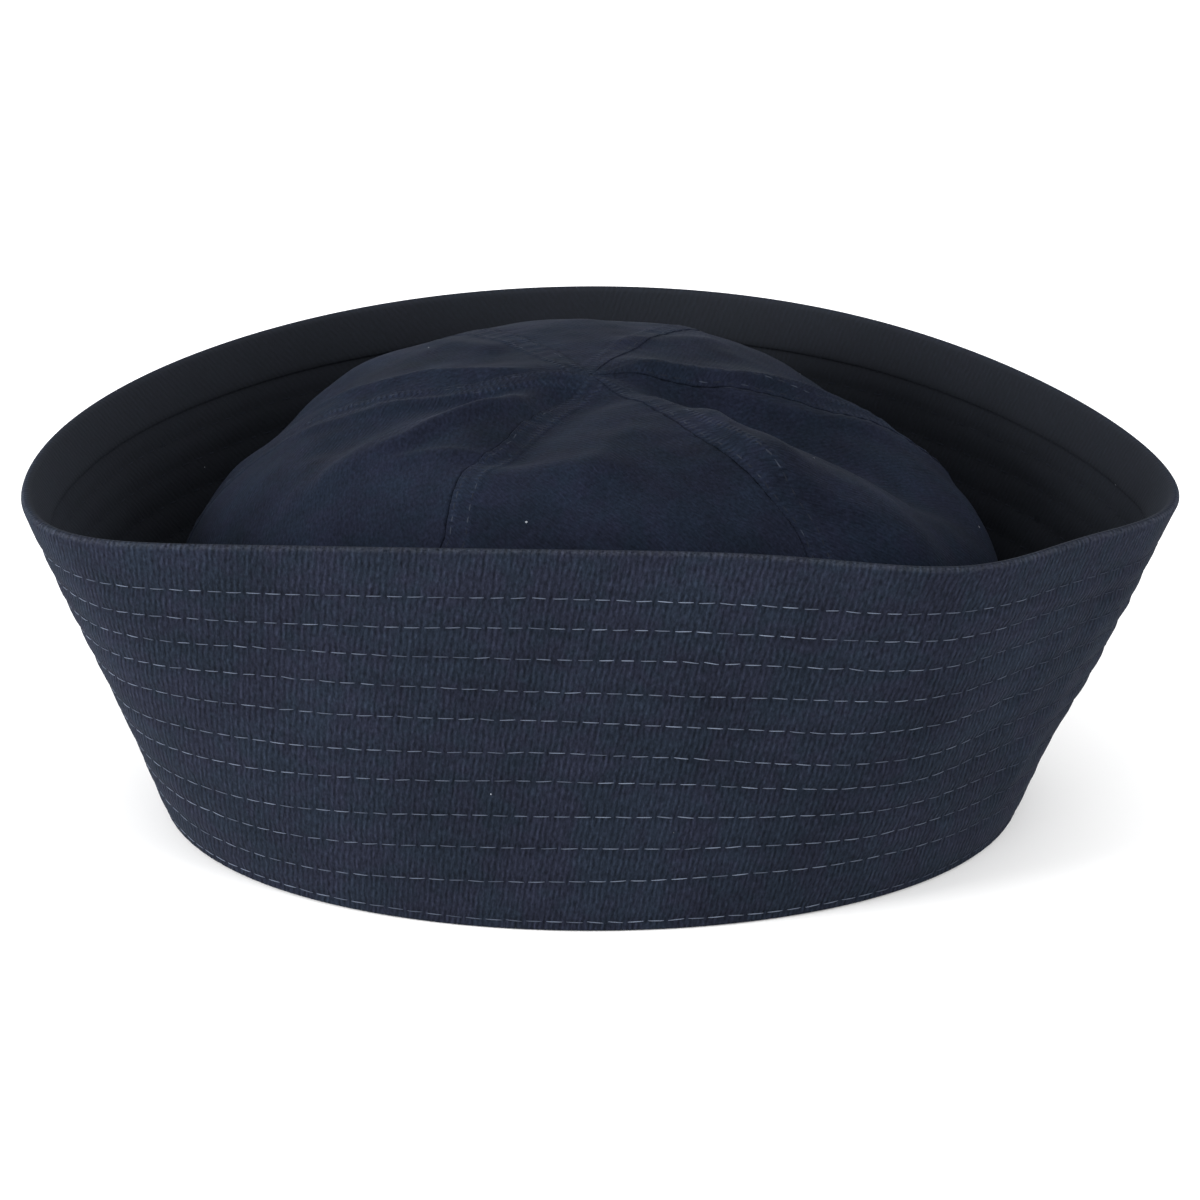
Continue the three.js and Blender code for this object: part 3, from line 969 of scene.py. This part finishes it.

# The pleats give relief and also painted highlight and shade: the material lightens their crests and darkens
# between them.
def seam_gathers_and_shading(tree, place):
    seam = add_node(tree, "UVMap", uv_map="seam")
    across = add_node(tree, "SeparateXYZ", {"Vector": seam}, "X")
    pleats = add_node(tree, "TexWave", {
        "Vector": seam, "Scale": wave_scale(gather_pitch), "Distortion": 2.0, "Detail": 1.0,
        "Detail Scale": 1.0,
    }, "Fac", bands_direction="Y")
    apart = []
    for row in gathered_rows:
        step = add_node(tree, "Math", {0: across, 1: row}, operation="SUBTRACT")
        apart.append(add_node(tree, "Math", {0: step}, operation="ABSOLUTE"))
    nearest = add_node(tree, "Math", {0: apart[0], 1: apart[1]}, operation="MINIMUM")
    near_row = add_node(tree, "MapRange", {
        "Value": nearest, "From Min": 0.2 * MM, "From Max": 1.4 * MM, "To Min": 1.0, "To Max": 0.0,
    })
    noise = add_node(tree, "TexNoise", {"Vector": place, "Scale": 1 / gather_patch, "Detail": 2.0})
    patches = add_node(tree, "MapRange", {
        "Value": noise, "From Min": 0.4, "From Max": 0.6, "To Min": 0.15, "To Max": 1.0,
    })
    drawn_in = add_node(tree, "Math", {0: pleats, 1: near_row}, operation="MULTIPLY")
    return add_node(tree, "Math", {0: drawn_in, 1: patches}, operation="MULTIPLY"), across

# %% Specks of lint
lint_cell = 8.333 * MM
lint_share = 0.1
speck_radius = 0.033
lint_cover = 0.4

def lint_specks(tree, place):
    """How far lint covers the cloth: one speck in a tenth of the cells, about half a millimetre wide."""
    distance = add_node(tree, "TexVoronoi", {"Vector": place, "Scale": 1 / lint_cell}, "Distance")
    chance_of_cell = add_node(tree, "SeparateColor", {"Color": distance.node.outputs["Color"]}, "Red")
    chosen = add_node(tree, "Math", {0: chance_of_cell, 1: 1 - lint_share}, operation="GREATER_THAN")
    near = add_node(tree, "Math", {0: distance, 1: speck_radius}, operation="LESS_THAN")
    speck = add_node(tree, "Math", {0: near, 1: chosen}, operation="MULTIPLY")
    return add_node(tree, "Math", {0: speck, 1: lint_cover}, operation="MULTIPLY")

# %% [markdown]
# ## Navy cotton twill
# Piece-dyed cotton, washed a few times: dull and a little fuzzy, with next to no gloss. The brim's is
# greyer inside, partly its duller colour and partly painted shade, and its ribs are rubbed flat there.
# Its stitched grooves are painted darker as shade, and the pale line along the rim's top is partly
# worn fibres and partly a painted highlight. On the crown the pleats beside each seam are painted
# lighter and darker as highlight and shade, and the lap's edge is painted darker as shade. Real fibres
# are a few hundredths of a millimetre thick, so the fuzz and the single picks are drawn coarser.

# %% Twill material
fuzz_grain = MM / 1.4
fuzz_relief = 0.4
pick_stretch = (2.4, 0.8)
gather_relief = 4.0
# How far the inside is mixed towards grey, as partly duller cloth and partly painted shade.
inside_grey_and_shade = 0.78
inside_relief = 0.4

def brim_finish(tree, relief, fuzz):
    painted_groove_shade, inside, rim_wear_and_highlight = (
        add_node(tree, "Attribute", output="Fac", attribute_name=layer)
        for layer in ("painted_groove_shade", "inside", "rim_wear_and_highlight")
    )
    flatter = add_node(tree, "MapRange", {"Value": inside, "To Min": 1.0, "To Max": inside_relief})
    relief = add_node(tree, "Math", {0: relief, 1: flatter}, operation="MULTIPLY")
    # Partly painted shade: inside, the colour is mixed towards the grey 1f2125, which is also the cloth's
    # duller colour there.
    greyer_and_shaded = add_node(tree, "Math", {0: inside, 1: inside_grey_and_shade}, operation="MULTIPLY")
    # Partly a painted highlight: fuzz tips along the rim's top are mixed towards the pale grey 7d818a, partly
    # as worn fibres.
    tips = add_node(tree, "MapRange", {"Value": fuzz, "From Min": 0.35, "From Max": 0.65, "To Max": 0.08})
    frayed_and_highlit = add_node(tree, "Math", {0: rim_wear_and_highlight, 1: tips}, operation="MULTIPLY")
    # Painted shade: the cloth is made up to 14 per cent darker in the stitched grooves.
    return relief, [(painted_groove_shade, 0.0, 1.0, 1.0, 0.86)], [(greyer_and_shaded, "1f2125"), (frayed_and_highlit, "7d818a")]

def crown_finish(tree, relief, place):
    # Painted highlight and shade: the pleats beside the seams make the cloth up to half again lighter on their
    # crests and a little darker between.
    gathers_and_shading, shade_from_seam_edge = seam_gathers_and_shading(tree, place)
    relief = add_node(tree, "Math", {0: gathers_and_shading, 1: gather_relief, 2: relief}, operation="MULTIPLY_ADD")
    # Painted shade: the cloth is made up to 10 per cent darker within 0.6 mm of the lap's folded edge.
    return relief, [(gathers_and_shading, 0.0, 1.0, 0.93, 1.5), (shade_from_seam_edge, 0.0, 0.6 * MM, 0.9, 1.0)], []

def cotton_twill(name, dyed, faded, rib_pitch, rib_height, rib_contrast, grain_contrast, on_brim):
    material, tree = new_material(name)
    cut = add_node(tree, "UVMap", uv_map="flat_cut")
    place = add_node(tree, "TexCoord", output="Object")
    rib = twill_ribs(tree, cut, rib_pitch)
    fuzz = add_node(tree, "TexNoise", {
        "Vector": place, "Scale": 1 / fuzz_grain, "Detail": 3.0, "Roughness": 0.7,
    })
    picks = add_node(tree, "Mapping", {"Vector": cut, "Scale": along_weave(pick_stretch, rib_pitch)})
    grain = add_node(tree, "TexNoise", {"Vector": picks, "Scale": 1.0, "Detail": 1.0})
    relief = add_node(tree, "Math", {0: fuzz, 1: fuzz_relief, 2: rib}, operation="MULTIPLY_ADD")
    finish = brim_finish(tree, relief, fuzz) if on_brim else crown_finish(tree, relief, place)
    relief, own_tones, covers = finish

    # Value, its lowest and highest, and the tone that each of these gives
    tones = [
        (rib, 0.0, 1.0, 1 - rib_contrast, 1 + rib_contrast),
        (fuzz, 0.3, 0.7, 0.74, 1.26),
        (grain, 0.3, 0.7, 1 - grain_contrast, 1 + grain_contrast),
        *own_tones,
    ]
    tone = 1.0
    for value, low, high, least, most in tones:
        ends = {"Value": value, "From Min": low, "From Max": high, "To Min": least, "To Max": most}
        tone = add_node(tree, "Math", {0: tone, 1: add_node(tree, "MapRange", ends)}, operation="MULTIPLY")
    dye = washed_dye(tree, place, dyed, faded)
    colour = add_node(tree, "VectorMath", {0: dye, "Scale": tone}, operation="SCALE")
    for cover, code in (*covers, (lint_specks(tree, place), "b4b8c0")):
        colour = add_node(tree, "Mix", {"Factor": cover, 6: colour, 7: linear(code)}, 2, data_type="RGBA")

    bump = add_node(tree, "Bump", {"Height": relief, "Strength": 1.0, "Distance": rib_height})
    shader = add_node(tree, "BsdfPrincipled", {
        "Base Color": colour, "Roughness": 0.92, "IOR": 1.47, "Specular IOR Level": 0.04,
        "Sheen Weight": 0.03, "Sheen Roughness": 0.45, "Sheen Tint": linear("9aa6bc"), "Normal": bump,
    })
    add_node(tree, "OutputMaterial", {"Surface": shader})
    print(name, len(tree.nodes), "nodes")
    return material

brim_twill = cotton_twill(
    "brim_cotton_twill", dyed="151921", faded="1c202a", rib_pitch=1.38 * MM, rib_height=0.16 * MM,
    rib_contrast=0.4, grain_contrast=0.28, on_brim=True,
)
crown_twill = cotton_twill(
    "crown_cotton_twill", dyed="0f131b", faded="181d29", rib_pitch=1.1 * MM, rib_height=0.07 * MM,
    rib_contrast=0.07, grain_contrast=0.22, on_brim=False,
)

# %% [markdown]
# ## Thread
# Spun sewing thread, pale grey-blue on the outside of the brim and navy elsewhere, dull and slightly
# hairy. To the eye it is a row of bright dashes where threads stand proud, and sinks into the shade
# elsewhere, so each thread carries its own brightness.

# %% Thread material
def sewing_thread(name, dark, light):
    material, tree = new_material(name)
    brightness = add_node(tree, "Attribute", output="Fac", attribute_name="brightness")
    ends = {"Factor": brightness, 6: linear(dark), 7: linear(light)}
    colour = add_node(tree, "Mix", ends, 2, data_type="RGBA")
    shader = add_node(tree, "BsdfPrincipled", {
        "Base Color": colour, "Roughness": 0.8, "Specular IOR Level": 0.08,
    })
    add_node(tree, "OutputMaterial", {"Surface": shader})
    print(name, len(tree.nodes), "nodes")
    return material

pale_thread = sewing_thread("pale_sewing_thread", "1b202c", "5f6775")
navy_thread = sewing_thread("navy_sewing_thread", "14171f", "2c313b")

# %% Give every piece its material
for material, pieces in (
    (brim_twill, (brim_outer, brim_inner)),
    (crown_twill, gore_pieces),
    (pale_thread, (stitches_outside,)),
    (navy_thread, (stitches_inside, stitches_crown)),
):
    for piece in pieces:
        piece.data.materials.clear()
        piece.data.materials.append(material)
    print(material.name, "on", len(pieces), "pieces")

# %% [markdown]
# ## Studio
# White all round, a low soft light from the left and a weaker one from the right, as in a product
# photograph. One lamp would be simpler, but would leave the right end without form.

# %% Floor and surround
floor_drop = 0.05 * MM
bm = bmesh.new()
bmesh.ops.create_grid(bm, x_segments=1, y_segments=1, size=30)
floor_mesh = mesh_from(bm, "studio_floor")
floor = bpy.data.objects.new("studio_floor", floor_mesh)
bpy.context.scene.collection.objects.link(floor)
floor.location.z = -floor_drop
floor_material, tree = new_material("white_floor")
floor_shader = add_node(tree, "BsdfPrincipled", {
    "Base Color": linear("fafafa"), "Roughness": 0.9, "Specular IOR Level": 0.1,
})
add_node(tree, "OutputMaterial", {"Surface": floor_shader})
floor_mesh.materials.append(floor_material)

world = bpy.data.worlds.new("white_surround")
bpy.context.scene.world = world
world.use_nodes = True
surround = world.node_tree.nodes["Background"]
surround.inputs["Color"].default_value = linear("ffffff")
surround.inputs["Strength"].default_value = 1.2

# %% Lights
def soft_light(name, place, side, power):
    data = bpy.data.lights.new(name, "AREA")
    data.shape = "RECTANGLE"
    data.size = side
    data.size_y = side
    data.energy = power
    light = bpy.data.objects.new(name, data)
    bpy.context.scene.collection.objects.link(light)
    light.location = place
    direction = camera_target - Vector(place)
    light.rotation_euler = direction.to_track_quat("-Z", "Y").to_euler()
    print(name, power, "W,", round(direction.length, 1), "m away")

soft_light("key_light", place=(-2.1, -0.7, 0.5), side=1.2, power=95)
soft_light("fill_light", place=(1.9, -1.3, 0.9), side=1.2, power=42)

bpy.context.scene.view_settings.view_transform = "Standard"
